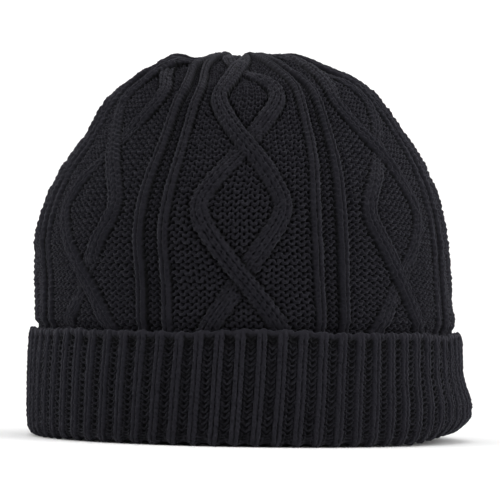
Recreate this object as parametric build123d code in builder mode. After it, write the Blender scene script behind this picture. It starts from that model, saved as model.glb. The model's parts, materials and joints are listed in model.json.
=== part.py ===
from build123d import *
import os
from math import acos, cos, radians, sin

os.makedirs("parts", exist_ok=True)

# A knit beanie standing on the fold of its turned-up cuff. +Z is up, the front faces -Y, and the
# origin is the middle of the plane it stands on. Every ring of the hat is drawn as a round
# section about Z, then stretched front to back by depth_ratio, because a head is longer than wide.

# Driving dimensions, in millimetres and degrees
head_half_width = 78.6  # inside face of the knitting, side to side
depth_ratio = 1.16  # front-to-back size over side-to-side size
wall = 3.6  # the crown's and the band's fabric, ribs included
total_height = 151.5  # from the fold to the top of the gather
shoulder_height = 72.0  # the sides run straight up to here, then close in
cuff_height = 42.0  # from the fold to the free edge of the turn-up
cuff_layer = 4.3  # thickness of the ribbed turn-up
fold_gap = 0.5  # air between the turn-up and the band that it lies on
crown_start = 38.0  # where the ribbed band changes to the cable-knit crown
loose = 0.2  # clearance between pieces that lie against each other
seam_gap = 0.6  # clearance between the back seam's yarn and the fabric it runs along
seam_angle = 112.5  # back seam, counted from +X: half a cable panel off the centre of the back
yarn = 0.7  # radius of the doubled sewing yarn
gather_hole = 3.0  # radius of the hole that the gathering yarn draws together

# The crown's outline above the shoulder is a superellipse: flatter on top than a plain ellipse
side_power = 2.6
top_power = 1.5
outline_points = 9

crown_half_width = head_half_width + wall
cuff_inner = crown_half_width + fold_gap
cuff_half_width = cuff_inner + cuff_layer
fold_round = 3.2  # outer corner of the fold, where it leaves the table
fold_inner_round = 1.4
fold_press = 0.3  # how far the fold flattens where the hat stands on it
edge_round = 1.6
band_start = cuff_layer + loose
dome_rise = total_height - shoulder_height


def dome_outline(half_width, rise, hole):
    """Points of the crown's outline from the shoulder to the edge of the hole on top, radius then height."""
    last = acos((hole / half_width) ** (side_power / 2))
    steps = [last * i / outline_points for i in range(outline_points + 1)]
    return [
        (half_width * cos(a) ** (2 / side_power), shoulder_height + rise * sin(a) ** (2 / top_power))
        for a in steps
    ]


# Cable-knit crown: one dome of fabric, open below, with the small gathered hole on top
outer_outline = dome_outline(crown_half_width, dome_rise, gather_hole)
inner_outline = dome_outline(head_half_width, dome_rise - wall, gather_hole)

with BuildPart() as crown_shell:
    with BuildSketch(Plane.XZ):
        with BuildLine():
            Line((crown_half_width, crown_start), outer_outline[0])
            Spline(outer_outline, tangents=((0, 1), (-1, 0)))
            Line(outer_outline[-1], inner_outline[-1])
            Spline(inner_outline[::-1], tangents=((1, 0), (0, -1)))
            Line(inner_outline[0], (head_half_width, crown_start))
            Line((head_half_width, crown_start), (crown_half_width, crown_start))
        make_face()
    revolve(axis=Axis.Z)
    scale(by=(1, depth_ratio, 1))
crown_shell.part.label = "crown_shell"
export_step(crown_shell.part, "parts/crown_shell.step")

# Ribbed band: the same fabric carried on down inside the turn-up, to just above the fold
band_height = crown_start - loose - band_start
with BuildPart() as ribbed_band:
    with BuildSketch(Plane.XZ):
        with Locations((head_half_width, band_start)):
            Rectangle(wall, band_height, align=(Align.MIN, Align.MIN))
        fillet(vertices().group_by(Axis.Y)[0], radius=fold_inner_round)
    revolve(axis=Axis.Z)
    scale(by=(1, depth_ratio, 1))
ribbed_band.part.label = "ribbed_band"
export_step(ribbed_band.part, "parts/ribbed_band.step")

# Turned-up cuff: the fold that the hat stands on and the layer that rises outside the band.
# Its two ends meet at the back in a shallow groove, where the seam yarn lies.
seam_groove = 1.2
with BuildPart() as turn_up_cuff:
    with BuildSketch(Plane.XZ):
        with BuildLine():
            Polyline(
                (head_half_width, -fold_press),
                (cuff_half_width, -fold_press),
                (cuff_half_width, cuff_height),
                (cuff_inner, cuff_height),
                (cuff_inner, cuff_layer),
                (head_half_width, cuff_layer),
                close=True,
            )
        make_face()
        fillet(vertices().group_by(Axis.Y)[0].sort_by(Axis.X)[-1], radius=fold_round)
        fillet(vertices().group_by(Axis.Y)[0].sort_by(Axis.X)[0], radius=fold_inner_round)
        fillet(vertices().group_by(Axis.Y)[-1], radius=edge_round)
    revolve(axis=Axis.Z)
    with BuildSketch(Plane.XY):
        with PolarLocations(cuff_half_width, 1, start_angle=seam_angle):
            Circle(seam_groove)
    extrude(amount=cuff_height, mode=Mode.SUBTRACT)
    scale(by=(1, depth_ratio, 1))
    split(bisect_by=Plane.XY, keep=Keep.TOP)
turn_up_cuff.part.label = "turn_up_cuff"
export_step(turn_up_cuff.part, "parts/turn_up_cuff.step")

# Yarn that closes the turn-up's back seam, lying in the groove
cuff_yarn_radius = cuff_half_width - seam_groove / 2
cuff_yarn_start = fold_round + loose
with BuildPart() as cuff_seam_yarn:
    with BuildSketch(Plane.XY.offset(cuff_yarn_start)):
        with PolarLocations(cuff_yarn_radius, 1, start_angle=seam_angle):
            Circle(seam_groove / 2 - loose / 2)
    extrude(amount=cuff_height - cuff_yarn_start - edge_round)
    scale(by=(1, depth_ratio, 1))
cuff_seam_yarn.part.label = "cuff_seam_yarn"
export_step(cuff_seam_yarn.part, "parts/cuff_seam_yarn.step")

# Yarn that closes the back seam of the band and the crown, on the inside face, up to the gather
inside_gap = seam_gap + yarn
seam_top_hole = gather_hole + 4 * yarn  # it stops two yarns short of the gather
seam_plane = Plane(
    origin=(0, 0, 0),
    x_dir=(cos(radians(seam_angle)), sin(radians(seam_angle)), 0),
    z_dir=(sin(radians(seam_angle)), -cos(radians(seam_angle)), 0),
)
seam_outline = dome_outline(
    head_half_width - inside_gap, dome_rise - wall - inside_gap, seam_top_hole
)
with BuildPart() as back_seam_yarn:
    with BuildLine(seam_plane) as seam_path:
        Line((head_half_width - inside_gap, band_start + yarn), seam_outline[0])
        Spline(seam_outline, tangents=((0, 1), (-1, 0)))
    with BuildSketch(Plane(origin=seam_path.line @ 0, z_dir=seam_path.line % 0)):
        Circle(yarn)
    sweep(path=seam_path.line)
    scale(by=(1, depth_ratio, 1))
back_seam_yarn.part.label = "back_seam_yarn"
export_step(back_seam_yarn.part, "parts/back_seam_yarn.step")

# Gathering yarn: two turns through the last course, which draw the hole on top together
gather_radius = gather_hole - loose - yarn
gather_middle = total_height - wall / 2
turn_rise = 0.9 * yarn  # from the middle to either turn, so that the two press together
with BuildPart() as gather_yarn:
    with BuildSketch(Plane.XZ):
        with Locations(
            (gather_radius, gather_middle - turn_rise), (gather_radius, gather_middle + turn_rise)
        ):
            Circle(yarn)
    revolve(axis=Axis.Z)
    scale(by=(1, depth_ratio, 1))
gather_yarn.part.label = "gather_yarn"
export_step(gather_yarn.part, "parts/gather_yarn.step")

# The knot that ties the gathering yarn off inside the crown, with its two cut tails
knot_radius = 2.4
knot_height = total_height - wall - loose - yarn - knot_radius
tail_start = 1.0  # each tail leaves the knot this far to its side and below its middle
tail_spread = 4.0
tail_drop = 14.0
with BuildPart() as gather_knot:
    with Locations((0, 0, knot_height)):
        Sphere(knot_radius)
    for side in (-1, 1):
        with BuildLine(Plane.XZ) as tail_path:
            Spline(
                (side * tail_start, knot_height - tail_start),
                (side * (tail_start + tail_spread / 2), knot_height - tail_drop / 2),
                (side * (tail_start + tail_spread), knot_height - tail_drop),
            )
        with BuildSketch(Plane(origin=tail_path.line @ 0, z_dir=tail_path.line % 0)):
            Circle(yarn)
        sweep(path=tail_path.line)
gather_knot.part.label = "gather_knot"
export_step(gather_knot.part, "parts/gather_knot.step")

# Blank care label, folded double, that hangs inside from the back seam
label_width = 18.0
label_length = 30.0
label_thickness = 0.6
label_corner = 1.0
label_top = 64.0
label_gap = seam_gap + 2 * yarn + loose  # the label lies over the seam yarn
label_radius = head_half_width - label_gap
seam_cos = cos(radians(seam_angle))
seam_sin = sin(radians(seam_angle))
label_origin = (label_radius * seam_cos, depth_ratio * label_radius * seam_sin, label_top)
label_plane = Plane(
    origin=label_origin,
    x_dir=(seam_sin / depth_ratio, -seam_cos, 0),
    z_dir=(-seam_cos, -seam_sin / depth_ratio, 0),
)
with BuildPart() as care_label:
    with BuildSketch(label_plane):
        with Locations((0, -label_length / 2)):
            RectangleRounded(label_width, label_length, radius=label_corner)
    extrude(amount=label_thickness)
care_label.part.label = "care_label"
export_step(care_label.part, "parts/care_label.step")

# Whip stitches over the label's top edge, which hold it to the fabric and let it swing
stitch_count = 5
stitch_spacing = 3.4
stitch_radius = 0.3
stitch_reach = 2 * (loose + label_thickness)
with BuildPart() as label_stitches:
    with BuildSketch(label_plane.offset(-loose)):
        with Locations((0, stitch_radius + loose)):
            with GridLocations(stitch_spacing, 1, stitch_count, 1):
                Circle(stitch_radius)
    extrude(amount=stitch_reach)
label_stitches.part.label = "label_stitches"
export_step(label_stitches.part, "parts/label_stitches.step")
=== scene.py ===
import json
import math

import bpy
import numpy as np
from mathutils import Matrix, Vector


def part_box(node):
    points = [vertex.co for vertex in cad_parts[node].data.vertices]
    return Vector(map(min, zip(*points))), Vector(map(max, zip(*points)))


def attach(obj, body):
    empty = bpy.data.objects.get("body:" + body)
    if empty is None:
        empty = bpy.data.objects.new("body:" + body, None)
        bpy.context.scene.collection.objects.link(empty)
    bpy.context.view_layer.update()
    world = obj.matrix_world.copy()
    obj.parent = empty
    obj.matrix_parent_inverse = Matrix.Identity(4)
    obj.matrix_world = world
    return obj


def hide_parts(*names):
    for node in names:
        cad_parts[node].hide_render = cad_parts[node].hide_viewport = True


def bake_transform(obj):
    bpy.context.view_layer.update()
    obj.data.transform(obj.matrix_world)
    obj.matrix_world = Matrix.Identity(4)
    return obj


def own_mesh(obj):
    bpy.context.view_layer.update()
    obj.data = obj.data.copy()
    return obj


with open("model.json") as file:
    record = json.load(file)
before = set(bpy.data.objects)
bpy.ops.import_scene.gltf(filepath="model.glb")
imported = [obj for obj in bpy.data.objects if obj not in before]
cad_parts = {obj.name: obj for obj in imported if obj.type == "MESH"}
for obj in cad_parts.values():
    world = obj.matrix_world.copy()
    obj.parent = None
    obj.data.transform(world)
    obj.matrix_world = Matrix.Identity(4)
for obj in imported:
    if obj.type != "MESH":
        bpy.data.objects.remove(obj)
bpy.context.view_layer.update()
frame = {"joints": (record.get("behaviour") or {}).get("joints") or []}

# A knit beanie: a cable-knit crown gathered on top, and a ribbed band that turns up into a cuff.
# Lengths are in millimetres until a mesh is made, and MM turns them into metres. u is the share of
# the way round from the front, towards +X, and s the distance along the crown from its start.
MM = 0.001
bpy.context.scene.view_settings.view_transform = "Standard"


def millimetres(corner):
    return np.array(corner) / MM


# ---------------------------------------------------------------- sizes, from the CAD frame
crown_low, crown_high = (millimetres(c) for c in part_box("crown_shell"))
band_low, band_high = (millimetres(c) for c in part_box("ribbed_band"))
cuff_high = millimetres(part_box("turn_up_cuff")[1])
seam_low, seam_high = (millimetres(c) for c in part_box("cuff_seam_yarn"))
knot_low, knot_high = (millimetres(c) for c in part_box("gather_knot"))
joints = {j["name"]: j for j in frame["joints"]}

depth_ratio = crown_high[1] / crown_high[0]      # front-to-back size over side-to-side size
crown_reach = crown_high[0]          # half width over the ribs
cuff_reach = cuff_high[0]
total_height = crown_high[2]
crown_start = crown_low[2]
cuff_height = cuff_high[2]
seam_middle = (seam_low + seam_high) / 2
# The back seam's angle about Z, counted from the front
seam_turn = math.atan2(seam_middle[0], -seam_middle[1] / (cuff_high[1] / cuff_high[0]))

# ---------------------------------------------------------------- knitting gauge
PANELS = 8                           # a diamond cable and a pair of ribs each
course = 2.35                        # height of a crown stitch
cuff_course = 2.1                    # height of a cuff or band stitch
CUFF_RIBS = 72                       # two knit stitches and one purl each
ground_depth = 1.9                   # the purl ground lies this far inside the CAD outline
rib_relief = 1.7                     # crown ribs above the ground
cable_relief = 1.7                   # cable strands above the ground
SEED = 20                            # every random field below draws from it


# ---------------------------------------------------------------- oval arithmetic
def arc_angles(count):
    """Angles about Z, from the front, that cut the oval into equal lengths, ending one short of a full turn."""
    fine = np.linspace(0, 2 * np.pi, 7201)
    speed = np.hypot(np.cos(fine), depth_ratio * np.sin(fine))
    length = np.concatenate([[0], np.cumsum((speed[1:] + speed[:-1]) / 2)])
    return np.interp(np.arange(count) / count * length[-1], length, fine)


def oval(angle):
    """Unit oval: front at -Y, angle growing towards +X. Returns position and outward normal."""
    x, y = np.sin(angle), -depth_ratio * np.cos(angle)
    nx, ny = np.sin(angle), -np.cos(angle) / depth_ratio
    size = np.hypot(nx, ny)
    return x, y, nx / size, ny / size


girth_factor = 2 * np.pi * math.sqrt((1 + depth_ratio ** 2) / 2)    # oval's length over its half width


def grain(rng, shape, along, around):
    """Smooth random field on a grid that closes on itself. along and around are its grain in cells."""
    waves = np.fft.rfft2(rng.standard_normal(shape))
    down = np.fft.fftfreq(shape[0])[:, None] * along
    across = np.fft.rfftfreq(shape[1])[None, :] * around
    field = np.fft.irfft2(waves * np.exp(-2 * np.pi ** 2 * (down ** 2 + across ** 2)), s=shape)
    return (field - field.mean()) / field.std()


def soften(field, along, around):
    """The same field blurred; along and around are in cells."""
    down = np.fft.fftfreq(field.shape[0])[:, None] * along
    across = np.fft.rfftfreq(field.shape[1])[None, :] * around
    blur = np.exp(-2 * np.pi ** 2 * (down ** 2 + across ** 2))
    return np.fft.irfft2(np.fft.rfft2(field) * blur, s=field.shape)


def smooth(edge0, edge1, x):
    """A soft step from 0 at edge0 to 1 at edge1; either may be the larger."""
    t = np.clip((x - edge0) / (edge1 - edge0), 0, 1)
    return t * t * (3 - 2 * t)


def hump(x, middle, width):
    """A bell curve, 1 at its middle."""
    return np.exp(-((x - middle) / width) ** 2)


# ---------------------------------------------------------------- stitches
def stitch_tile(width, height, yarn, face, depth=0.55, tilt=0, reach=0.86, size=72):
    """Height map of one stitch of plain knitting, repeating both ways. face 1 shows the knit side's V,
    face -1 the purl side's bars. The yarn's middle line is a loop that leans out towards its head, and
    tilt lifts its foot, so that every course shows one wavy bar above another."""
    lean, depth = 0.17, depth * yarn
    t = np.linspace(0, 2 * np.pi, 121)
    line_x = width * t / (2 * np.pi) + lean * width * np.sin(2 * t)
    line_y = -reach * height * np.cos(t)
    line_z = -face * depth * np.cos(2 * t) + tilt * yarn * np.cos(t)
    cells = (np.arange(size) + 0.5) / size
    gx, gy = np.meshgrid(cells * width, cells * height)
    top = np.full(gx.shape, -depth - 0.5 * yarn)
    for column in (-1, 0, 1):
        for row in (-1, 0, 1, 2):
            for x, y, z in zip(line_x + column * width, line_y + row * height, line_z):
                d2 = yarn ** 2 - (gx - x) ** 2 - (gy - y) ** 2
                top = np.where(d2 > 0, np.maximum(top, z + np.sqrt(np.maximum(d2, 0))), top)
    for _ in range(3):      # blurred a little, as the yarn's fibres blur it
        top = (top + np.roll(top, 1, 0) + np.roll(top, -1, 0) + np.roll(top, 1, 1) + np.roll(top, -1, 1)) / 5
    return top - top.mean()


def sample(tile, across, along):
    """Bilinear lookup of a repeating tile; across and along count stitches."""
    n = tile.shape[0]
    x, y = np.mod(across, 1) * n - 0.5, np.mod(along, 1) * n - 0.5
    x0, y0 = np.floor(x).astype(int), np.floor(y).astype(int)
    fx, fy = x - x0, y - y0
    x0, x1, y0, y1 = x0 % n, (x0 + 1) % n, y0 % n, (y0 + 1) % n
    return (tile[y0, x0] * (1 - fx) * (1 - fy) + tile[y0, x1] * fx * (1 - fy)
            + tile[y1, x0] * (1 - fx) * fy + tile[y1, x1] * fx * fy)


# ---------------------------------------------------------------- meshes
def make_mesh(name, points, faces, body, material):
    """A smooth-shaded piece. points are in millimetres, and faces is an array of quads or a list of arrays,
    each of equal-length faces. A piece with None as its body is attached to no body."""
    groups = faces if isinstance(faces, list) else [faces]
    mesh = bpy.data.meshes.new(name)
    mesh.vertices.add(len(points))
    mesh.vertices.foreach_set("co", (np.asarray(points) * MM).astype(np.float32).ravel())
    corners = np.concatenate([g.ravel() for g in groups]).astype(np.int32)
    sizes = np.concatenate([np.full(len(g), g.shape[1]) for g in groups])
    mesh.loops.add(len(corners))
    mesh.loops.foreach_set("vertex_index", corners)
    mesh.polygons.add(len(sizes))
    mesh.polygons.foreach_set("loop_start", np.concatenate([[0], np.cumsum(sizes)[:-1]]).astype(np.int32))
    mesh.polygons.foreach_set("use_smooth", np.ones(len(sizes), bool))
    mesh.update(calc_edges=True)
    mesh.validate()
    obj = bpy.data.objects.new(name, mesh)
    bpy.context.scene.collection.objects.link(obj)
    mesh.materials.append(material)
    if body:
        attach(obj, body)
    return obj


def set_painted_shading(obj, height):
    """Keeps, for the material, painted light and shade: paler where each point stands above the fabric round it
    and darker in its hollows and furrows; 0.5 is level.
    """
    full_range = 1.8
    layer = obj.data.attributes.new("painted_shading", "FLOAT", "POINT")
    layer.data.foreach_set("value", np.clip(0.5 + height.ravel() / full_range, 0, 1).astype(np.float32))


def ring_faces(rows, columns, closed_rows=True):
    """Quads of a grid that closes on itself round its columns, and round its rows too if asked."""
    row, column = np.meshgrid(np.arange(rows if closed_rows else rows - 1), np.arange(columns), indexing="ij")
    this_row, next_row = row * columns, (row + 1) % rows * columns
    following = (column + 1) % columns
    corners = [this_row + column, this_row + following, next_row + following, next_row + column]
    return np.stack(corners, -1).reshape(-1, 4)


def grid_normals(points):
    """Outward unit normals of a (rows, columns, 3) grid whose columns run anticlockwise seen from above."""
    along = np.gradient(points, axis=0)
    around = np.roll(points, -1, 1) - np.roll(points, 1, 1)
    normal = np.cross(around, along)
    return normal / np.maximum(np.linalg.norm(normal, axis=2, keepdims=True), 1e-9)


# ---------------------------------------------------------------- crown
side_power, top_power = 2.6, 1.5     # the crown's outline is a superellipse above the shoulder
shoulder = 72.0                      # the sides run straight up to here
gather_radius = 2.3                  # of the hole that the yarn draws together
ground_reach = crown_reach - ground_depth
band_middle = crown_reach - 2.2      # middle of the band's fabric


def crown_profile(s_count, reach, top):
    """Half width and height of the crown's outline at even steps along it, from crown_start to the gather."""
    a = np.linspace(0, math.acos((gather_radius / reach) ** (side_power / 2)), 2000)
    r = reach * np.cos(a) ** (2 / side_power)
    z = shoulder + (top - shoulder) * np.sin(a) ** (2 / top_power)
    r, z = np.concatenate([[reach], r]), np.concatenate([[crown_start], z])
    mean = (1 + depth_ratio) / 2
    length = np.concatenate([[0], np.cumsum(np.hypot(np.diff(r) * mean, np.diff(z)))])
    s = np.linspace(0, length[-1], s_count)
    return s, np.interp(s, length, r), np.interp(s, length, z)


panel_width = ground_reach * girth_factor / PANELS
rib_width, gap_width = 4.7, 2.9      # of the crown's ribs, and half the gap between a pair of them


def panel_layout(shrink):
    """Edges across half a panel, in millimetres of full girth: diamond field, rib, gap. shrink is the share of
    the girth left at that height; ribs keep more of their width than the purl ground does."""
    half = panel_width / 2
    rib = rib_width * shrink ** -0.4
    gap = gap_width * shrink ** 0.3
    return half - gap - rib, half - gap, half


field_columns = 15                   # purl stitches across a panel between its ribs
purl_relief = 1.8
rope_stitches = 3                    # knit stitches across a cable strand
rope_half_width = 3.7
first_crossing, first_pitch, pitch_loss = 23.5, 52.75, 1.25      # along the crown, from crown_start


def crossing_count(s):
    """How many crossings of the cables lie below s, and how fast that count grows. Whole numbers are crossings.
    Each diamond is shorter than the one below it."""
    root = np.sqrt(np.maximum(first_pitch ** 2 - 4 * pitch_loss * (s - first_crossing), 1))
    return (first_pitch - root) / (2 * pitch_loss), 1 / root


def rope_path(s):
    """How far a cable strand is from the middle of its diamond, in millimetres of full girth, and its slope."""
    swing, sharp = 16.0, 0.94
    count, rate = crossing_count(s)
    x = swing * np.arcsin(sharp * np.sin(np.pi * count)) / math.asin(sharp)
    slope = swing * sharp * np.cos(np.pi * count) * np.pi * rate / math.asin(sharp)
    slope = slope / np.sqrt(1 - (sharp * np.sin(np.pi * count)) ** 2)
    return x, slope


knit_tile = stitch_tile(2.35, course, 0.50, 1, depth=0.9)
purl_tile = stitch_tile(3.4, course, 0.48, -1, tilt=0.12, reach=0.76)
cuff_knit_tile = stitch_tile(2.45, cuff_course, 0.54, 1, depth=0.8)
cuff_purl_tile = stitch_tile(3.2, cuff_course, 0.46, -1, depth=0.7, tilt=0.12, reach=0.8)
stitch_table = np.random.default_rng(SEED + 9).standard_normal((97, 241))      # primes, so it hardly repeats


def uneven(across, along):
    """A small random height for each stitch."""
    rows, columns = stitch_table.shape
    return stitch_table[np.floor(along).astype(int) % rows, np.floor(across).astype(int) % columns]


def rounded(t, power):
    """1 in the middle of a stitch column, 0 at its edges; t runs 0 to 1 across it."""
    return 1 - np.abs(2 * t - 1) ** power


def crown_relief(u, s, shrink):
    """Height of the crown's outer face above its purl ground, and the painted shade for its furrows and
    creases.
    """
    rng = np.random.default_rng(SEED)
    shape = (len(s), u.shape[1])
    wander = 0.30 * grain(rng, shape, 28, 26)
    loose = 0.13 * grain(rng, shape, 12, 14)
    shift = 0.09 * grain(rng, shape, 7, 7)
    fluff = 0.09 * grain(rng, shape, 1.1, 1.1)
    p = np.mod(u * PANELS + 0.5, 1) - 0.5
    panel = np.floor(u * PANELS + 0.5)
    x = p * panel_width + wander
    side = np.abs(x)
    field, rib_out, half = panel_layout(shrink)
    courses = s / course + loose

    column = (x / field + 1) / 2 * field_columns + shift
    ground = purl_relief * sample(purl_tile, column, courses)
    ground = ground + 0.18 * uneven(column + 0.5 + 17 * panel, courses)
    gap = purl_relief * sample(purl_tile, (side - rib_out) / (half - rib_out), courses) - 0.7
    sink = 1.3 * smooth(0.85, 0.35, shrink) * (1 + 0.25 * grain(rng, shape, 60, 40))
    crease = smooth(0.9, 0.45, shrink) * (1 + 0.4 * grain(rng, shape, 50, 20))
    # Painted shade beside the ribs and cables, deepest in the creases near the top.
    shadow = 0.35 + 1.0 * crease
    ringed = 0.25 + 0.75 * smooth(0.30, 0.85, shrink)
    flat = 0.65 + 0.35 * smooth(0.35, 0.75, shrink)
    height = np.where(side < rib_out, ground, gap) - sink

    scallop = 0.035 * np.cos(2 * np.pi * courses)
    t = (side - field) / (rib_out - field)
    t = 0.5 + (t - 0.5) / (1 + scallop)
    inside = (t > 0) & (t < 1)
    wale = 2 * np.clip(t, 0, 0.9999)
    cord = rib_relief * rounded(np.clip(t, 0, 1), 2.8) - 1.1 * (1 - rounded(np.mod(wale, 1), 2.8))
    rib = cord + 0.8 * ringed * sample(knit_tile, wale, courses) + 0.10 * uneven(wale + 31 * panel, courses)
    beside = hump(np.minimum(np.abs(side - field), np.abs(side - rib_out)), 0, 0.9)
    height = np.where(inside, np.maximum(height - 0.3, rib), height - (0.45 + 1.5 * crease) * beside)
    # Painted shade down the line between each rib's two wales and in the creases beside the ribs.
    painted_furrow_shade = np.where(inside, 1.0 * (1 - rounded(np.mod(wale, 1), 2.8)), shadow * beside)

    path, slope = rope_path(s)
    lean = 1 / np.sqrt(1 + slope ** 2)
    count, _ = crossing_count(s)
    cross = np.abs(np.cos(np.pi * count))       # 1 at a crossing
    which = np.where(np.mod(np.floor(count + 0.5), 3) == 2, -1, 1)      # which strand goes over
    strands = []
    for sign in (1, -1):
        width = rope_half_width * shrink ** -0.5 * (1 + 0.05 * np.cos(2 * np.pi * (courses + 0.25 * sign)))
        d = (x - sign * path) * lean
        t = d / width
        body = np.clip(1 - np.abs(t) ** 2.6, 0, 1)
        across = (np.clip(t, -1, 1) * 0.9999 + 1) / 2 * rope_stitches
        weave = 1.4 * ringed * sample(knit_tile, across, courses)
        weave = weave + 0.7 * (rounded(np.mod(across, 1), 2.4) - 0.7)
        weave = weave + 0.14 * uneven(across + 7 * sign + 31 * panel, courses)
        over = np.where(sign * slope * which < 0, 0.5, -1.5) * np.clip((cross - 0.70) / 0.30, 0, 1)
        strand = cable_relief * flat * body + weave + over * np.clip(body * 1.6, 0, 1)
        strands.append(np.where(np.abs(t) < 1, strand, -9))
        shade = hump(np.clip(np.abs(d) - width, 0, 9), 0, 1.1)
        height = np.where(np.abs(t) < 1, height, height - (0.6 + 2.0 * crease) * shade)
        # Painted shade in the creases beside each cable strand.
        painted_furrow_shade = np.where(np.abs(t) < 0.9, 0, np.maximum(painted_furrow_shade, shadow * shade))
    height = np.maximum(height, np.maximum(*strands))
    return height + fluff, painted_furrow_shade


def pleats(u, radius):
    """Folds that the gather draws the fabric into: two ridges a panel, sharper in their valleys."""
    rng = np.random.default_rng(SEED + 1)
    shape = (len(radius), u.shape[1])
    drift = 0.12 * grain(rng, shape, 60, 60)
    wave = np.abs(np.cos(np.pi * (PANELS * 2 * u + drift))) ** 0.7 - 0.62
    size = 1 + 0.3 * grain(rng, shape, 90, 50)
    pull = smooth(62, 20, radius) * smooth(2, 12, radius)
    return 2.1 * wave * size * pull


def seam_distance(angle, reach):
    """Signed distance along the oval from the back seam, in millimetres."""
    away = np.mod(angle - seam_turn + np.pi, 2 * np.pi) - np.pi
    return away * reach * np.hypot(np.cos(seam_turn), depth_ratio * np.sin(seam_turn))


def slumped_dome(radius, z, angle):
    """Points of the crown before its pleats: a dome whose top leans to the left, makes a ridge from side to
    side, is drawn in at the gather and puffs up round it."""
    ox, oy, _, _ = oval(angle)
    dome = np.stack([radius[:, None] * ox, radius[:, None] * oy, z[:, None] + 0 * ox], -1)
    lean = -4.8 * smooth(132, 147, z) - 1.6 * hump(z, 78, 26)
    dome[..., 0] += lean[:, None]
    dome[..., 2] -= 2.6 * hump(radius, 34, 22)[:, None] * np.cos(angle) ** 2
    puff = 1.2 * smooth(50, 32, radius) - 3.4 * hump(radius, 0, 9)
    x = dome[..., 0]
    billow = 1.7 * hump(x, -8, 8) - 0.7 * hump(x, -5, 2.5) - 0.9 * hump(x, 0, 3.5) - 1.2 * hump(x, 9, 4)
    billow = billow - 1.8 * hump(x, -22, 6) + 0.6 * hump(x, 19, 6) + 2.2 * hump(x, -32, 6)
    dome[..., 2] += puff[:, None] + billow * smooth(36, 20, radius)[:, None]
    return dome


def crown_swell(u, angle, radius, z, shrink):
    """How far the fabric stands out from the dome: its pleats, its lumps and its lopsided sides."""
    rng = np.random.default_rng(SEED + 2)
    shape = (len(z), u.shape[1])
    big = 0.35 * grain(rng, shape, 70, 90) + 0.25 * grain(rng, shape, 28, 32)
    fade = smooth(0.05, 0.35, shrink)
    # Fuller at the shoulder, drawn in above the cuff
    swell = 1.3 * hump(z, 132, 10) - 0.5 * hump(z, 58, 10) + 0.9 * hump(z, 92, 22)
    ox = oval(angle)[0]
    right, left = np.clip(ox, 0, 1)[None, :], np.clip(-ox, 0, 1)[None, :]
    lower_left = -1.2 * hump(z, 114, 11) + 0.6 * hump(z, 131, 5) - 1.7 * hump(z, 143, 3.5)
    lower_right = -1.9 * hump(z, 124, 16) + 0.8 * hump(z, 138, 5)
    lopsided = (1.2 * smooth(0.6, 1, right) * hump(z, 52, 16)[:, None]
                + 1.8 * smooth(0, 0.7, right) * hump(radius, 28, 12)[:, None]
                + smooth(0.4, 1, left) * lower_left[:, None] + smooth(0.3, 1, right) * lower_right[:, None])
    lumps = 0.7 * grain(rng, shape, 26, 60) * smooth(55, 35, radius[:, None]) * smooth(4, 14, radius[:, None])
    return big * fade + swell[:, None] + lopsided + lumps + pleats(u, radius[:, None])


def lining_depth(lift, relief, seam, seen_behind, keep):
    """How far the inside face lies inward of the ground, on the rows to keep. It takes up the cables, the back
    seam's ridge and the stitches seen from behind, and passes below the deepest creases near each point."""
    count = len(lift)
    lowest = lift
    for step in (-5, -3, -1, 1, 3, 5):
        rows = np.clip(np.arange(count) + step, 0, count - 1)
        lowest = np.minimum(np.minimum(lowest, lift[rows]), np.roll(lift, step, 1))
    depth = 2.0 - 0.35 * np.clip(relief[keep], 0, 2) - seen_behind + 0.5 * seam[keep]
    return np.maximum(depth, 1.2 - soften(lowest, 1.5, 1.5)[keep])


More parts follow.
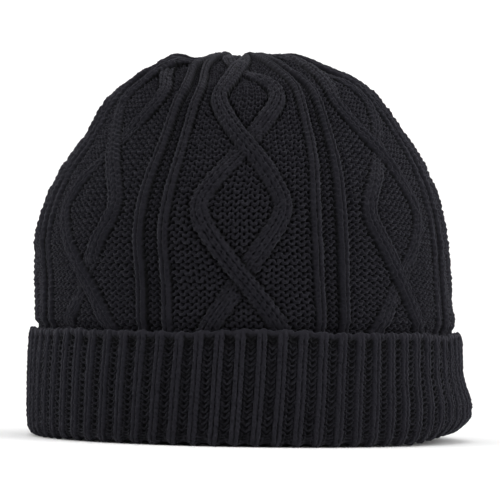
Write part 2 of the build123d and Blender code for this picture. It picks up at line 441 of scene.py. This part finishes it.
def make_crown():
    """The knitted crown. Returns the middle of its gather, the line of its back seam along the inside, and the
    direction across that seam."""
    rows, columns, lining_rows = 470, PANELS * 158, 160
    s, radius, z = crown_profile(rows, ground_reach, total_height - ground_depth)
    angle = arc_angles(columns)
    u = (np.arange(columns) / columns)[None, :]
    shrink = np.clip(radius / ground_reach, 0.12, 1)[:, None]
    dome = slumped_dome(radius, z, angle)
    inward = -grid_normals(dome)
    base = dome - inward * crown_swell(u, angle, radius, z, shrink)[..., None]
    relief, painted_furrow_shade = crown_relief(u, s[:, None], shrink)
    seam = hump(seam_distance(angle, radius[:, None]), 0, 1.3) * smooth(0.1, 0.3, shrink)
    relief = np.maximum(relief - 1.0 * seam, -2.6)
    held = -1.3 * smooth(46, 42.5, z)[:, None]       # pressed in behind the cuff's free edge
    lift = held + relief * (0.35 + 0.65 * smooth(0.1, 0.5, shrink))
    outer = base + grid_normals(base) * lift[..., None]

    keep = np.unique(np.linspace(0, rows - 1, lining_rows).astype(int))
    seen_behind = 0.8 * sample(knit_tile, u * PANELS * 21, s[keep][:, None] / course)
    depth = lining_depth(lift, relief, seam, seen_behind, keep)
    lining = base[keep] + inward[keep] * depth[..., None]

    # The fabric goes on down inside the band as a tongue, and on in where it is drawn together
    ox, oy, _, _ = oval(angle)
    tongue_height = np.full(columns, crown_start - 1.6)
    tongue = [np.stack([reach * ox, reach * oy, tongue_height], -1)[None]
              for reach in (band_middle + 0.3, band_middle - 0.3)]
    top = outer[-1].mean(0)
    pucker = [top + (outer[-1] - top) * share - [0, 0, drop]
              for share, drop in ((0.7, 0.9), (0.4, 2.0), (0.05, 3.0))]
    grid = np.concatenate([tongue[0], outer, pucker, lining[::-1], tongue[1]])
    # Painted highlight on the raised ribs and cables, and painted shade near the gather, where the top softbox
    # falls most.
    ridge_highlight_top_shade = 0.20 * np.clip(soften(relief, 3, 3), -1, 2) - 0.12 - 0.35 * smooth(0.35, 0.1, shrink)
    # Outside: painted highlight where the stitches stand out from the fabric round them, painted shade in their
    # hollows and furrows.
    painted_shading_outside = relief - soften(relief, 4, 4) + ridge_highlight_top_shade - painted_furrow_shade
    level = np.zeros((1, columns))
    # Painted shade on the pucker in the gather; on the lining, painted shade between the stitches seen from
    # behind.
    shaded = np.full((len(pucker), columns), -0.5)
    painted_shading = np.concatenate([level, painted_shading_outside, shaded, (seen_behind - 0.1)[::-1], level])
    faces = ring_faces(len(grid), columns)
    crown = make_mesh("crown_knit", grid.reshape(-1, 3), faces, "crown", knit_material)
    set_painted_shading(crown, painted_shading)
    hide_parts("crown_shell")

    column = int(np.argmin(np.abs(seam_distance(angle, 1.0))))
    under_seam = np.maximum(np.convolve(depth[:, column], np.ones(9) / 9, mode="same"), 2.4) + 0.7
    seam_line = base[keep, column] + inward[keep, column] * under_seam[:, None]
    sideways = np.array([np.cos(angle[column]), depth_ratio * np.sin(angle[column]), 0])
    return top, seam_line, sideways / np.linalg.norm(sideways)


# ---------------------------------------------------------------- ribbed cuff
cuff_thickness = cuff_reach - crown_reach - 0.2
cuff_drawn_in = 2.0                  # how much closer than the CAD outline the crests lie
rib_start = 0.72                     # where the count of ribs stands at the front, in ribs
fold_points, face_points, edge_points = 22, 132, 16      # of the cuff's section, along these stretches


def cuff_section():
    """Points round the cuff's section, outward distance from the cuff's outer face and height, with the share
    of the rib relief at each. It runs up the outer face, over the free edge and down inside, then under the
    fold."""
    edge, fold, fold_width = 2.4, 4.6, 6.2      # heights of the rounded edge and fold, and the fold's width
    lip_width, lip_low, lip_high = 1.9, 0.3, 4.9      # the fold's inner lip, under the end of the band
    parts = []

    def line(a, b, n, relief_a, relief_b):
        t = np.arange(n) / n
        relief = relief_a + (relief_b - relief_a) * t
        parts.append(np.stack([a[0] + (b[0] - a[0]) * t, a[1] + (b[1] - a[1]) * t, relief], 1))

    def arc(centre, rx, ry, start, stop, n, relief_a, relief_b):
        t = np.arange(n) / n
        a = np.radians(start + (stop - start) * t)
        relief = relief_a + (relief_b - relief_a) * t
        parts.append(np.stack([centre[0] + rx * np.cos(a), centre[1] + ry * np.sin(a), relief], 1))

    inner, top = -cuff_thickness, cuff_height - edge
    lip = inner - lip_width
    lip_half = (lip_high - lip_low) / 2
    arc((-fold_width, fold), fold_width, fold, -90, 0, fold_points, 0.4, 1)
    line((0, fold), (0, top), face_points, 1, 1)
    arc((inner / 2, top), -inner / 2, edge, 0, 180, edge_points, 1, 0)
    line((inner, top), (inner, lip_high), 24, 0, 0)
    line((inner, lip_high), (lip, lip_high), 8, 0, 0)
    arc((lip, lip_low + lip_half), lip_width, lip_half, 90, 270, 16, 0.2, 0.4)
    line((lip, lip_low), (-fold_width, 0), 10, 0.4, 0.4)
    return np.concatenate(parts)


def cuff_turn(u):
    """Ribs counted round the free edge."""
    return u * CUFF_RIBS + rib_start + 0.22 * np.sin(2 * np.pi * u) - 0.36 * np.cos(2 * np.pi * u)


def cuff_slant(u):
    """How many ribs the cuff is skewed by, from its free edge to its fold."""
    return 0.16 + 0.22 * np.cos(2 * np.pi * (u + 0.125))


def cuff_relief(u, distance, open_share):
    """Height of the ribbing below its crest, and the painted shade for its furrows and gutters, darker near the
    free edge. distance runs down from the free edge, so the stitches, which were knitted the other way up, hang
    head down. open_share opens the gutters."""
    rng = np.random.default_rng(SEED + 3)
    shape = (len(distance), u.shape[1])
    wander = 0.035 * grain(rng, shape, 70, 45) + 0.015 * grain(rng, shape, 25, 20)
    loose = 0.10 * grain(rng, shape, 12, 18)
    fluff = 0.08 * grain(rng, shape, 1.1, 1.1)
    slant = cuff_slant(u) * (distance / cuff_height)
    courses = distance / cuff_course + loose
    turn = cuff_turn(u) + wander + slant
    w, rib_number = np.mod(turn, 1), np.floor(turn)
    knit = 0.54 + 0.02 * np.cos(2 * np.pi * courses)
    t = np.clip(w / knit, 0, 0.9999)
    wale = 2 * t
    cord = -0.9 * (1 - rounded(np.mod(wale, 1), 3.2)) + 0.6 * sample(cuff_knit_tile, wale, courses)
    side_fall = -1.7 * (1 - rounded(t, 6))
    rib = cord + side_fall + 0.08 * uneven(wale + 3 * rib_number, courses)
    g = np.clip((w - knit) / (1 - knit), 0, 1)
    near_edge = hump(distance, 4.5, 2.5)
    hollow = -1.3 - 0.3 * rounded(g, 2) - 0.7 * near_edge
    bars = sample(cuff_purl_tile, 0.2 + 0.6 * g, courses + 0.45 * np.abs(2 * g - 1))
    gutter = hollow + 2.1 * bars + 0.10 * uneven(3 * rib_number + 2, courses)
    relief = np.where(w < knit, rib, np.clip(gutter, cuff_drawn_in - cuff_thickness + 0.25, 0.2))
    # Painted shade down the line between each rib's two wales, and in the gutters, most near the free edge.
    painted_furrow_shade = np.where(w < knit, 0.7 * (1 - rounded(np.mod(wale, 1), 3.0)), 0.42 + 0.4 * near_edge)
    relief = relief * open_share + (0.15 * np.cos(2 * np.pi * turn * 3) - 0.3) * (1 - open_share) + fluff
    return relief, painted_furrow_shade * open_share


def make_cuff():
    """The turn-up: its fold on the table, its ribbed outer face, its free edge and its plain inner face."""
    columns = CUFF_RIBS * 23
    section = cuff_section()
    rows = len(section)
    angle = arc_angles(columns)
    ox, oy, nx, ny = oval(angle)
    u = (np.arange(columns) / columns)[None, :]
    out, z, share = section[:, 0][:, None], section[:, 1][:, None], section[:, 2][:, None]
    rng = np.random.default_rng(SEED + 4)
    along = np.concatenate([[0], np.cumsum(np.hypot(np.diff(section[:, 0]), np.diff(section[:, 1])))])
    crest = along[fold_points + face_points + edge_points // 2]
    distance = (crest - along)[:, None]
    open_share = share * smooth(1.0, 6.0, distance)
    relief, painted_furrow_shade = cuff_relief(u, distance, open_share)

    lift = z / cuff_height
    right = np.clip(ox, 0, 1)[None, :]
    broad = grain(rng, (1, columns), 1, 130)
    bow = 0.5 * np.sin(np.pi * np.clip(lift, 0, 1)) + 0.4 * broad + right ** 3 * 3.8 * smooth(0.68, 0.3, lift)
    reach = out + bow * smooth(0, 0.2, lift) - cuff_drawn_in * np.clip(1 + out / cuff_thickness, 0, 1)
    x = cuff_reach * ox + nx * reach + 0.5
    y = cuff_reach * oy + ny * reach
    edge_wave = 0.30 * grain(rng, (1, columns), 1, 30) + 0.15 * grain(rng, (1, columns), 1, 10)
    scalloped = 0.35 * np.cos(2 * np.pi * (cuff_turn(u) - 0.28)) * smooth(0.85, 1, lift)
    edge_wave = edge_wave * smooth(0.5, 1, lift) + scalloped
    # The fold leaves the table at one side, and between the ribs
    lifted = 3.2 * smooth(0.72, 1.0, ox)[None, :] * smooth(0.5, 0, lift)
    arched = 0.55 * (1 - np.cos(2 * np.pi * (cuff_turn(u) + cuff_slant(u) - 0.27))) * smooth(0.14, 0.02, lift)
    base = np.stack([x, y, z + edge_wave + lifted + arched], -1)
    along_path = np.roll(base, -1, 0) - np.roll(base, 1, 0)
    around = np.roll(base, -1, 1) - np.roll(base, 1, 1)
    normal = np.cross(around, along_path)
    normal /= np.maximum(np.linalg.norm(normal, axis=2, keepdims=True), 1e-9)
    points = base + normal * relief[..., None]
    points[..., 2] = np.maximum(points[..., 2], 0.02)
    faces = ring_faces(rows, columns)
    cuff = make_mesh("cuff_knit", points.reshape(-1, 3), faces, "cuff", rib_material)
    # Painted highlight on the crests and painted shade in the hollows, furrows and gutters.
    set_painted_shading(cuff, relief - soften(relief, 5, 6) - painted_furrow_shade)
    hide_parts("turn_up_cuff")
    return cuff


# ---------------------------------------------------------------- ribbed band inside the turn-up
def make_band():
    """The rib carried on down behind the turn-up to the fold, with its stitches seen from behind inside."""
    columns = CUFF_RIBS * 14
    angle = arc_angles(columns)
    ox, oy, nx, ny = oval(angle)
    u = (np.arange(columns) / columns)[None, :]
    rows = 90
    rise = np.linspace(band_low[2], band_high[2] + 0.5, rows)
    z = np.concatenate([rise, rise[::-1]])[:, None]
    outside = np.repeat([1.0, 0.0], rows)[:, None]
    turn = u * CUFF_RIBS + rib_start
    w = np.mod(turn, 1)
    knit = 0.58
    t = np.clip(w / knit, 0, 0.9999)
    g = np.clip((w - knit) / (1 - knit), 0, 1)
    rib = -0.5 * (1 - rounded(np.mod(2 * t, 1), 2.4)) - 1.3 * (1 - rounded(t, 6))
    rib = rib + 0.5 * sample(cuff_knit_tile, 2 * t, z / cuff_course)
    gutter = -1.7 + 0.9 * sample(cuff_purl_tile, 0.12 + 0.76 * g, z / cuff_course)
    relief = np.where(w < knit, rib, gutter)
    behind = 0.5 * sample(cuff_knit_tile, 3 * w, z / cuff_course) + 0.5 * np.cos(2 * np.pi * (w - knit / 2))
    end = smooth(0, 1.2, z - band_low[2])
    reach = outside * (relief - 0.2) + (1 - outside) * (-3.1 + behind) + (1 - end) * (1.0 - 2.2 * outside)
    x = crown_reach * ox + nx * reach
    y = crown_reach * oy + ny * reach
    points = np.stack([x, y, z + 0 * x], -1)
    faces = ring_faces(2 * rows, columns)
    band = make_mesh("band_knit", points.reshape(-1, 3), faces, None, rib_material)
    # Painted shade in the gutters outside, and between the stitches seen from behind inside.
    set_painted_shading(band, np.where(outside > 0, relief + 0.9, behind))
    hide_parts("ribbed_band")
    return band


# ---------------------------------------------------------------- sewing yarn, knot and label
gather_yarn = {"radius": 0.62, "pitch": 2.4}
seam_yarn = {"radius": 0.5, "pitch": 2.2}
label_thread = {"radius": 0.28, "pitch": 1.4}


def length_along(points):
    """Length of a line from its start to each of its points."""
    return np.concatenate([[0], np.cumsum(np.linalg.norm(np.diff(points, axis=0), axis=1))])


def unit_rows(vectors):
    """The same directions, each at length 1."""
    return vectors / np.linalg.norm(vectors, axis=1, keepdims=True)


def along_line(points, spacing):
    """The same line with points at even steps."""
    length = length_along(points)
    steps = np.linspace(0, length[-1], max(4, int(length[-1] / spacing)))
    return np.stack([np.interp(steps, length, points[:, k]) for k in range(3)], 1)


def tube(line, radius, sides):
    """A tube round a line, its ends drawn in and closed. Returns points, quads and end triangles."""
    tangent = unit_rows(np.gradient(line, axis=0))
    across = np.cross(tangent[0], [0.3, 0.2, 1.0])      # any direction that isn't along the line
    frames = []
    for direction in tangent:
        across = across - direction * (across @ direction)
        across /= np.linalg.norm(across)
        frames.append(across)
    across = np.array(frames)
    other = np.cross(tangent, across)
    turn = 2 * np.pi * np.arange(sides) / sides
    size = np.full(len(line), radius)
    size[[0, -1]] *= 0.55      # drawn in
    ring = np.cos(turn)[None, :, None] * across[:, None] + np.sin(turn)[None, :, None] * other[:, None]
    points = (line[:, None] + ring * size[:, None, None]).reshape(-1, 3)
    quads = ring_faces(len(line), sides, closed_rows=False)
    points = np.concatenate([points, [line[0], line[-1]]])
    k = np.arange(sides)
    first, last = len(points) - 2, len(points) - 1
    last_ring = (len(line) - 1) * sides
    start = np.stack([np.full(sides, first), (k + 1) % sides, k], 1)
    stop = np.stack([np.full(sides, last), last_ring + k, last_ring + (k + 1) % sides], 1)
    return points, quads, np.concatenate([start, stop])


def twisted_yarn(name, lines, body, radius, pitch):
    """Plied yarn along each of the given lines, as one piece. pitch is the length of one full twist."""
    plies, sides = 2, 8
    all_points, all_quads, all_ends, base = [], [], [], 0
    for line in lines:
        line = along_line(np.asarray(line, float), radius * 0.45)
        tangent = unit_rows(np.gradient(line, axis=0))
        across = unit_rows(np.cross(tangent, [0.21, 0.13, 0.97]))
        other = np.cross(tangent, across)
        length = length_along(line)
        for ply in range(plies):
            phase = 2 * np.pi * (length / pitch + ply / plies)
            offset = across * np.cos(phase)[:, None] + other * np.sin(phase)[:, None]
            points, quads, ends = tube(line + offset * radius * 0.48, radius * 0.56, sides)
            all_points.append(points)
            all_quads.append(quads + base)
            all_ends.append(ends + base)
            base += len(points)
    groups = [np.concatenate(all_quads), np.concatenate(all_ends)]
    yarn = make_mesh(name, np.concatenate(all_points), groups, body, sewing_material)
    set_painted_shading(yarn, np.full(base, 0.4))
    return yarn


def make_gather(top):
    """The yarn that draws the top together: two laced turns, a knot inside and its two cut tails."""
    t = np.linspace(0, 4 * np.pi, 240)
    laced = 2.1 + 0.5 * np.sin(4 * t + 0.6) - 0.02 * t
    weaving = -1.5 + 0.7 * np.sin(4 * t + 2.2) - 0.13 * t
    ring = np.stack([laced * np.cos(t), laced * np.sin(t), weaving], 1)
    cord = twisted_yarn("gather_cord", [top + ring], "crown", **gather_yarn)
    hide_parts("gather_yarn")

    middle = np.array([top[0], top[1], min(knot_high[2] - 2.3, top[2] - 5.5)])
    t = np.linspace(0.15, 2 * np.pi - 0.15, 120)
    trefoil = np.stack([np.sin(t) + 2 * np.sin(2 * t), np.cos(t) - 2 * np.cos(2 * t), -1.6 * np.sin(3 * t)], 1)
    loop = trefoil * 0.62
    drop = middle[2] - knot_low[2]
    tails = []
    for side, bend, reach in ((-1, 0.8, 1.0), (1, -1.1, 0.86)):
        k = np.linspace(0, 1, 30)
        height = -0.6 - (drop - 0.8) * reach * k
        curve = np.stack([side * (0.9 + 3.6 * k ** 1.4), bend * np.sin(2.4 * k), height], 1)
        tails.append(middle + curve)
    knot = twisted_yarn("gather_knot_yarn", [middle + loop] + tails, "crown", **gather_yarn)
    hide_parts("gather_knot")


def zigzag(line, sideways, width, pitch):
    """A sewing yarn's path: from side to side across a seam as it goes along."""
    line = along_line(line, 0.3)
    phase = 2 * np.pi * length_along(line) / pitch
    inward = unit_rows(np.cross(np.gradient(line, axis=0), sideways))
    return line + width * np.sin(phase)[:, None] * sideways - 0.35 * np.cos(2 * phase)[:, None] * inward


def make_seams(seam_line, sideways):
    """Zigzag stitches up the inside of the crown and the band, and up the outside of the turn-up."""
    back_low = millimetres(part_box("back_seam_yarn")[0])
    height = seam_line[:, 2]
    reach = np.linalg.norm(seam_line[:, :2] - seam_line[-1, :2], axis=1)
    upper = seam_line[(height > crown_start) & (reach > 6)]
    inside = {"width": 1.3, "pitch": 4.7}
    crown_yarn = twisted_yarn("crown_seam_stitches", [zigzag(upper, sideways, **inside)], "crown", **seam_yarn)
    foot = seam_line[0]
    z = np.linspace(back_low[2] + 0.6, crown_start, 40)
    lower = np.stack([np.full(len(z), foot[0]), np.full(len(z), foot[1]), z], 1)
    band_yarn = twisted_yarn("band_seam_stitches", [zigzag(lower, sideways, **inside)], None, **seam_yarn)
    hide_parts("back_seam_yarn")
    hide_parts("back_seam_yarn")

    x, y, nx, ny = oval(seam_turn)
    sunk = -2.2      # below the crests of the ribs
    z = np.linspace(seam_low[2] + 1.0, seam_high[2] - 0.8, 60)
    place = cuff_reach * x + nx * sunk, cuff_reach * y + ny * sunk
    line = np.stack([np.full(len(z), place[0]), np.full(len(z), place[1]), z], 1)
    outside = zigzag(line, sideways, width=1.2, pitch=4.2)
    cuff_yarn = twisted_yarn("cuff_seam_stitches", [outside], "cuff", **seam_yarn)
    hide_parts("cuff_seam_yarn")
    return band_yarn, cuff_yarn


def make_label():
    """A blank satin ribbon, folded double, that hangs over the back seam inside, and its stitches."""
    low, high = (millimetres(c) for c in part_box("care_label"))
    hinge = joints["label_swing"]
    origin = np.array(hinge["pos_m"]) / MM
    inward = np.array([-math.sin(seam_turn), math.cos(seam_turn) / depth_ratio, 0.0])
    inward /= np.linalg.norm(inward)
    along = np.array([inward[1], -inward[0], 0.0])
    length, width = high[2] - low[2], 18.0
    gap, half_thick = 0.34, 0.13         # from the middle to either leaf, and half a leaf's thickness
    leaf = np.linspace(0, 1, 44)
    turn_over = np.linspace(-np.pi / 2, np.pi / 2, 9)[1:-1]
    front = [(gap, -length * k) for k in leaf]
    fold = [(gap * math.cos(a + np.pi / 2) * 0.9, -length - gap * (1 - abs(math.sin(a))) * 0.6)
            for a in turn_over]
    back = [(-gap, -length * k) for k in leaf[::-1]]
    section = np.array(front + fold + back)
    n = 37
    across = np.linspace(-width / 2, width / 2, n)
    body = []
    for face in (half_thick, -half_thick):
        bow = 1.1 * np.sin(np.pi * np.clip(-section[:, 1] / length, 0, 1)) ** 1.5
        shift = np.where(np.arange(len(section)) < len(section) / 2, face, -face)
        cupped = 0.25 * np.cos(np.pi * across / width)[None, :] * (-section[:, 1] / length)[:, None]
        offset = (section[:, 0] + shift + bow + 0.5)[:, None] + cupped
        upright = section[:, 1][:, None, None] * np.array([0, 0, 1.0])
        body.append(origin + offset[..., None] * inward + across[None, :, None] * along + upright)
    rows = len(section)
    verts = np.concatenate([body[0].reshape(-1, 3), body[1].reshape(-1, 3)])
    r, c = np.meshgrid(np.arange(rows - 1), np.arange(n - 1), indexing="ij")
    quad = np.stack([r * n + c, (r + 1) * n + c, (r + 1) * n + c + 1, r * n + c + 1], -1).reshape(-1, 4)
    under = quad[:, ::-1] + rows * n
    rim = np.concatenate([np.arange(n), np.arange(1, rows) * n + n - 1,
                          (rows - 1) * n + np.arange(n - 2, -1, -1), np.arange(rows - 2, 0, -1) * n])
    following = np.roll(rim, -1)
    sides = np.stack([rim, following, following + rows * n, rim + rows * n], 1)
    faces = np.concatenate([quad, under, sides])
    label = make_mesh("care_label_satin", verts, faces, "label", satin_material)
    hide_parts("care_label")

    stitches = []
    for k in np.linspace(-6.8, 6.8, 5):      # five whip stitches over the top edge
        a = np.linspace(0.1, 1.9, 16) * np.pi
        loop = origin + (1.1 * np.cos(a))[:, None] * inward + (k + 0.25 * np.cos(a))[:, None] * along
        loop = loop + (0.5 + 0.75 * np.sin(a))[:, None] * np.array([0, 0, 1.0])
        stitches.append(loop)
    sewn = twisted_yarn("label_whip_stitches", stitches, "crown", **label_thread)
    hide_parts("label_stitches")


# ---------------------------------------------------------------- materials
def yarn_material(name, colour, light):
    """Matt dark yarn with painted light and shade: paler where it stands out, darker in its hollows and
    furrows; mottled broadly, by stitch and by fibre.
    """
    mat = bpy.data.materials.new(name)
    mat.use_nodes = True
    nodes, links = mat.node_tree.nodes, mat.node_tree.links
    bsdf = nodes["Principled BSDF"]
    coords = nodes.new("ShaderNodeTexCoord")

    def noise(scale, detail, roughness=0.6):
        n = nodes.new("ShaderNodeTexNoise")
        n.inputs["Scale"].default_value = scale
        n.inputs["Detail"].default_value = detail
        n.inputs["Roughness"].default_value = roughness
        links.new(coords.outputs["Object"], n.inputs["Vector"])
        return n

    broad, fibre, stitch = noise(28, 3), noise(2600, 3, 0.7), noise(420, 2)
    painted_shading = nodes.new("ShaderNodeAttribute")
    painted_shading.attribute_name = "painted_shading"

    def add(first, second, share):
        """first times share, plus second."""
        node = nodes.new("ShaderNodeMath")
        node.operation = "MULTIPLY_ADD"
        links.new(first, node.inputs[0])
        node.inputs[1].default_value = share
        if second is None:
            node.inputs[2].default_value = 0
        else:
            links.new(second, node.inputs[2])
        return node.outputs[0]

    shade = add(broad.outputs["Fac"], None, 0.25)
    shade = add(stitch.outputs["Fac"], shade, 0.30)
    shade = add(fibre.outputs["Fac"], shade, 0.30)
    # The painted light and shade from the mesh.
    shade = add(painted_shading.outputs["Fac"], shade, 0.85)
    # The ramp's dark end, far below the yarn's colour, is painted shade for hollows and furrows, and its pale
    # end painted highlight for crests; the mottling moves the yarn a little along it too.
    ramp = nodes.new("ShaderNodeValToRGB")
    ramp.color_ramp.elements[0].position = 0.48
    ramp.color_ramp.elements[0].color = (*[c * 0.12 for c in colour], 1)
    ramp.color_ramp.elements[1].position = 1.0
    ramp.color_ramp.elements[1].color = (*light, 1)
    middle = ramp.color_ramp.elements.new(0.78)
    middle.color = (*[(c + l) / 2 for c, l in zip(colour, light)], 1)
    links.new(shade, ramp.inputs["Fac"])
    links.new(ramp.outputs["Color"], bsdf.inputs["Base Color"])
    bsdf.inputs["Roughness"].default_value = 0.88
    bsdf.inputs["Specular IOR Level"].default_value = 0.10
    bsdf.inputs["Sheen Weight"].default_value = 0.06
    bsdf.inputs["Sheen Roughness"].default_value = 0.5
    bsdf.inputs["Sheen Tint"].default_value = (0.85, 0.85, 1.0, 1)
    bump = nodes.new("ShaderNodeBump")
    bump.inputs["Strength"].default_value = 0.55
    bump.inputs["Distance"].default_value = 0.0003
    links.new(fibre.outputs["Fac"], bump.inputs["Height"])
    links.new(bump.outputs["Normal"], bsdf.inputs["Normal"])
    return mat


knit_material = yarn_material("crown_yarn", (0.0029, 0.0027, 0.0038), (0.0068, 0.0065, 0.0091))
# The cuff and band are knitted from the crown's yarn; this copy of it is set a little paler, as painted light.
rib_material = yarn_material("rib_yarn", (0.0034, 0.0032, 0.0046), (0.0079, 0.0076, 0.0105))
sewing_material = yarn_material("sewing_thread", (0.0054, 0.0052, 0.0067), (0.0135, 0.0131, 0.0167))


def satin():
    """Dark woven satin ribbon: a fine crosswise weave and a faint change of shade."""
    mat = bpy.data.materials.new("satin_ribbon")
    mat.use_nodes = True
    nodes, links = mat.node_tree.nodes, mat.node_tree.links
    bsdf = nodes["Principled BSDF"]
    coords = nodes.new("ShaderNodeTexCoord")
    weave = nodes.new("ShaderNodeTexWave")
    weave.wave_type, weave.bands_direction = "BANDS", "Z"
    weave.inputs["Scale"].default_value = 900
    weave.inputs["Distortion"].default_value = 1.5
    links.new(coords.outputs["Object"], weave.inputs["Vector"])
    shade = nodes.new("ShaderNodeTexNoise")
    shade.inputs["Scale"].default_value = 180
    links.new(coords.outputs["Object"], shade.inputs["Vector"])
    mix = nodes.new("ShaderNodeMix")
    mix.data_type = "RGBA"
    factor, dark, light, colour = 0, 6, 7, 2      # the mix node's sockets for colours
    mix.inputs[dark].default_value = (0.042, 0.042, 0.046, 1)
    mix.inputs[light].default_value = (0.058, 0.058, 0.064, 1)
    links.new(shade.outputs["Fac"], mix.inputs[factor])
    links.new(mix.outputs[colour], bsdf.inputs["Base Color"])
    bsdf.inputs["Roughness"].default_value = 0.42
    bsdf.inputs["Sheen Weight"].default_value = 0.1
    bump = nodes.new("ShaderNodeBump")
    bump.inputs["Strength"].default_value = 0.3
    bump.inputs["Distance"].default_value = 0.0001
    links.new(weave.outputs["Fac"], bump.inputs["Height"])
    links.new(bump.outputs["Normal"], bsdf.inputs["Normal"])
    return mat


satin_material = satin()


# ---------------------------------------------------------------- the hat, and how it follows the joints
gather_middle, seam_line, sideways = make_crown()
cuff = make_cuff()
band = make_band()
make_gather(gather_middle)
band_yarn, cuff_yarn = make_seams(seam_line, sideways)
make_label()

for soft in (cuff, cuff_yarn):
    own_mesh(soft)
for soft in (band, band_yarn):
    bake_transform(soft)


# ---------------------------------------------------------------- studio
def stage_material(name, value, glow):
    """Pale and matt, and clear while the camera is below the floor, so that the hat shows from underneath."""
    mat = bpy.data.materials.new(name)
    mat.use_nodes = True
    bsdf = mat.node_tree.nodes["Principled BSDF"]
    bsdf.inputs["Base Color"].default_value = (value, value, value, 1)
    bsdf.inputs["Roughness"].default_value = 0.9
    bsdf.inputs["Specular IOR Level"].default_value = 0.1
    bsdf.inputs["Emission Color"].default_value = (1, 1, 1, 1)
    bsdf.inputs["Emission Strength"].default_value = glow
    nodes, links = mat.node_tree.nodes, mat.node_tree.links
    clear, mix = nodes.new("ShaderNodeBsdfTransparent"), nodes.new("ShaderNodeMixShader")
    eye, parts = nodes.new("ShaderNodeVectorTransform"), nodes.new("ShaderNodeSeparateXYZ")
    below = nodes.new("ShaderNodeMath")
    eye.vector_type, eye.convert_from, eye.convert_to = "POINT", "CAMERA", "WORLD"
    eye.inputs[0].default_value = (0, 0, 0)
    below.operation = "LESS_THAN"
    below.inputs[1].default_value = 0
    links.new(eye.outputs[0], parts.inputs[0])
    links.new(parts.outputs["Z"], below.inputs[0])
    links.new(below.outputs[0], mix.inputs[0])
    links.new(bsdf.outputs[0], mix.inputs[1])
    links.new(clear.outputs[0], mix.inputs[2])
    links.new(mix.outputs[0], nodes["Material Output"].inputs["Surface"])
    return mat


def make_studio():
    """A pale floor that curves up into a faintly glowing backdrop, a white sky and three softboxes."""
    segments, radius, corner, wall = 96, 3.2, 0.9, 3.0
    profile = [(0.0, 0.0)] + [(r, 0.0) for r in np.linspace(0.3, radius - corner, 6)]
    profile += [(radius - corner + corner * math.sin(a), corner - corner * math.cos(a))
                for a in np.linspace(0.1, math.pi / 2, 10)]
    profile += [(radius, corner + wall)]
    turns = [2 * math.pi * i / segments for i in range(segments)]
    verts = [(0, 0, 0)]
    for r, h in profile[1:]:
        verts += [(r * math.cos(a), r * math.sin(a), h) for a in turns]
    pairs = [(i, (i + 1) % segments) for i in range(segments)]
    faces = [(0, 1 + i, 1 + j) for i, j in pairs]
    for ring in range(len(profile) - 2):
        a, b = 1 + ring * segments, 1 + (ring + 1) * segments
        faces += [(a + i, b + i, b + j, a + j) for i, j in pairs]
    mesh = bpy.data.meshes.new("floor")
    mesh.from_pydata(verts, [], faces)
    mesh.polygons.foreach_set("use_smooth", [True] * len(mesh.polygons))
    floor = bpy.data.objects.new("floor", mesh)
    mesh.materials.append(stage_material("pale_floor", 0.86, 0))
    mesh.materials.append(stage_material("pale_backdrop", 0.86, 0.12))
    backdrop_radius = 1.2      # the backdrop's glow starts here
    for face in mesh.polygons:
        face.material_index = int(Vector(face.center[:2]).length > backdrop_radius)
    bpy.context.scene.collection.objects.link(floor)

    world = bpy.data.worlds.new("studio")
    bpy.context.scene.world = world
    world.use_nodes = True
    world.node_tree.nodes["Background"].inputs["Color"].default_value = (1, 1, 1, 1)
    world.node_tree.nodes["Background"].inputs["Strength"].default_value = 1.25

    def area(name, place, target, size, power):
        data = bpy.data.lights.new(name, "AREA")
        data.shape = "RECTANGLE"
        data.size, data.size_y = size
        data.energy = power
        lamp = bpy.data.objects.new(name, data)
        bpy.context.scene.collection.objects.link(lamp)
        lamp.location = place
        lamp.rotation_mode = "QUATERNION"
        lamp.rotation_quaternion = (Vector(place) - Vector(target)).to_track_quat("Z", "Y")

    middle = (0, 0, 0.08)
    area("top_softbox", (0, 0.1, 1.5), middle, (1.4, 1.4), 5)
    area("left_softbox", (-1.3, -0.9, 0.5), middle, (1.0, 1.3), 9.6)
    area("right_softbox", (1.3, -0.9, 0.5), middle, (1.0, 1.3), 16.5)


def make_camera():
    """Level with the cuff's free edge, as a product photographer shoots a hat."""
    distance, eye, view_width = 1.13, cuff_height * MM, 0.1975
    aside, look_up, roll = 0.0022, 1.62, 0.95      # metres, degrees, degrees
    data = bpy.data.cameras.new("camera")
    data.lens = data.sensor_width * distance / view_width
    camera = bpy.data.objects.new("camera", data)
    bpy.context.scene.collection.objects.link(camera)
    camera.location = (aside, -distance, eye)
    camera.rotation_mode = "XYZ"
    camera.rotation_euler = (math.radians(90 + look_up), math.radians(-roll), 0)
    bpy.context.scene.camera = camera


make_studio()
make_camera()
